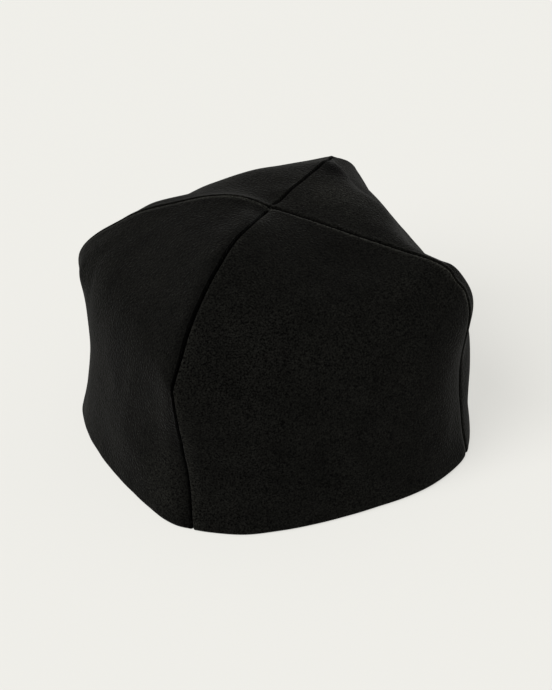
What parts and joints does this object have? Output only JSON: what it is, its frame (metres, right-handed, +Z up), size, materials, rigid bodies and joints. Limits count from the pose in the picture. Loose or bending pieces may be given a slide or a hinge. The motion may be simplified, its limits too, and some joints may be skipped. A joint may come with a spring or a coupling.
{
  "type": "felt cap",
  "caption": "Soft panelled felt cap with a flattish crown, rounded corners and a turned-up hem, worn on the head.",
  "frame": {"origin": "on the surface that the cap rests on, under the middle of its bounding box", "axes": "+Z up from the hem to the crown, -Y out through the middle of the front gore, +X out through the right gore"},
  "size_m": [0.1806, 0.1835, 0.1223],
  "materials": {
    "felt": "matte brushed wool felt, black"
  },
  "bodies": {
    "root": {"panel_front": "felt", "panel_right": "felt", "panel_back": "felt", "panel_left": "felt"}
  },
  "joints": []
}
